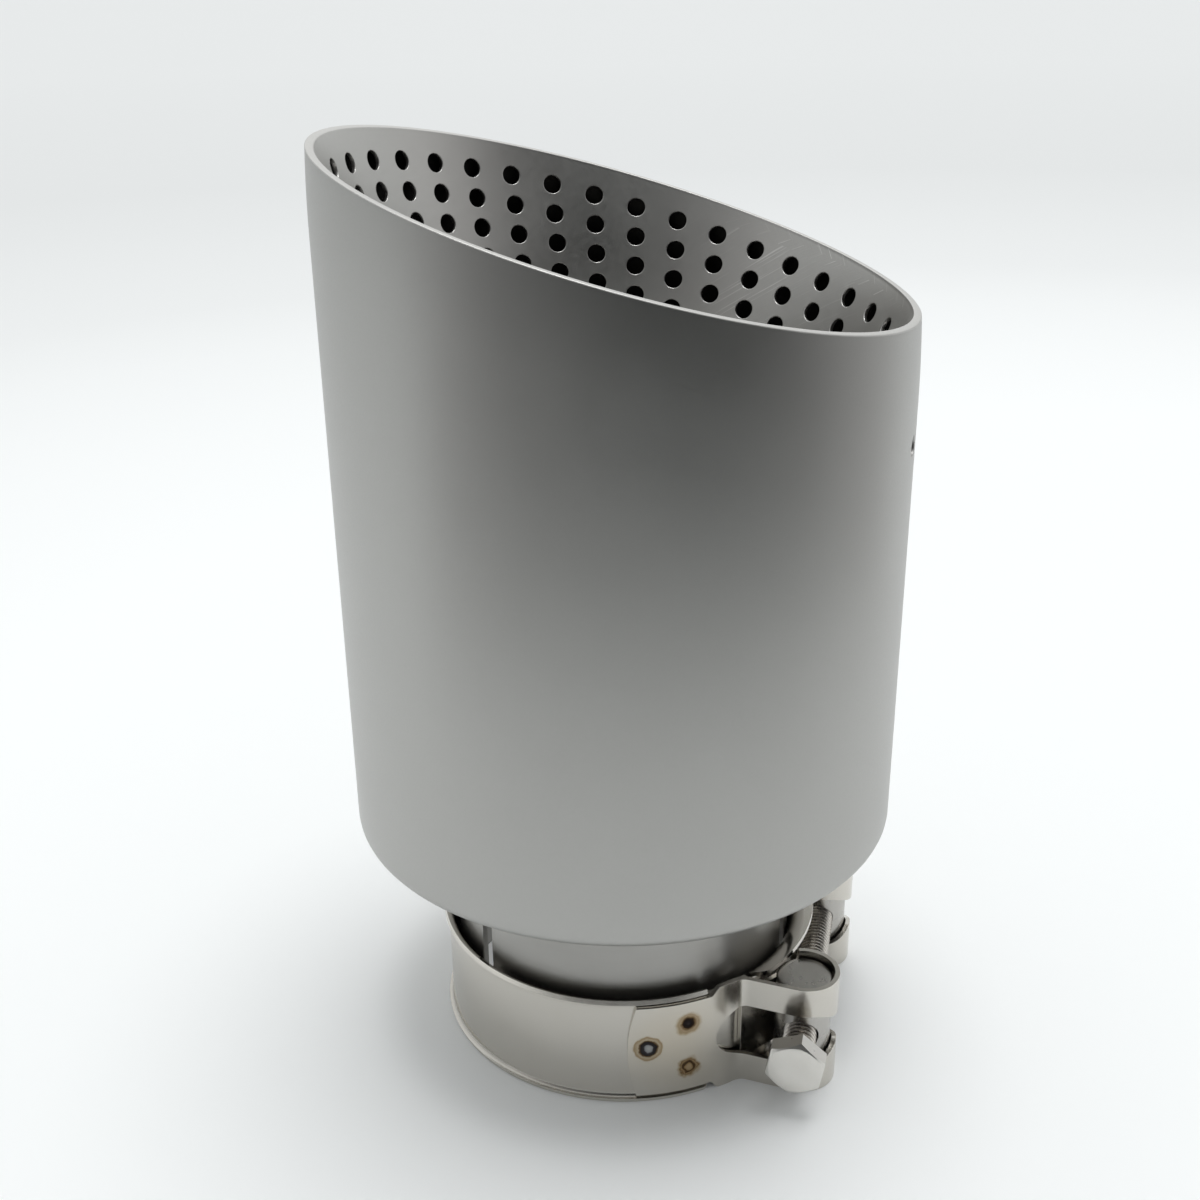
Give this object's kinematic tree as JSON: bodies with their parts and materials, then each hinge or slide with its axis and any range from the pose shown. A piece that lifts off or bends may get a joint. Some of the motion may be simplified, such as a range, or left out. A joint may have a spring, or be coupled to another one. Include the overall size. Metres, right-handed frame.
{
  "type": "exhaust tip",
  "caption": "Straight double-wall exhaust tip with a slant-cut mouth, a perforated funnel liner and a slotted inlet neck held by a bolted trunnion band clamp.",
  "frame": {"origin": "centre of the inlet neck's open end, on the tube axis", "axes": "+Z along the tube axis from the inlet to the mouth, -X towards the long side of the slanted mouth"},
  "size_m": [0.101, 0.101, 0.1678],
  "materials": {
    "satin_sleeve": "fine bead-blasted satin stainless steel with a bright ground rim",
    "satin_liner": "satin stainless steel with sanding marks",
    "satin_neck": "satin stainless steel",
    "polished_clamp": "polished stainless strip with heat tints at the spot welds",
    "turned_steel": "turned stainless steel",
    "bolt_steel": "bright steel"
  },
  "bodies": {
    "tip": {"outer_sleeve": "satin_sleeve", "inlet_neck": "satin_neck", "perforated_funnel": "satin_liner", "clamp_band": "polished_clamp", "bridge_tongue": "polished_clamp", "head_loop_strap": "polished_clamp", "nut_loop_strap": "polished_clamp", "head_trunnion": "turned_steel", "nut_trunnion": "turned_steel"},
    "bolt": {"clamp_bolt": "bolt_steel"}
  },
  "joints": [
    {"name": "bolt_turn", "type": "hinge", "parent": "tip", "child": "bolt", "pos_m": [0.03637, -0.03146, 0.01135], "axis": [0.0523, 0.9986, 0], "continuous": true}
  ]
}
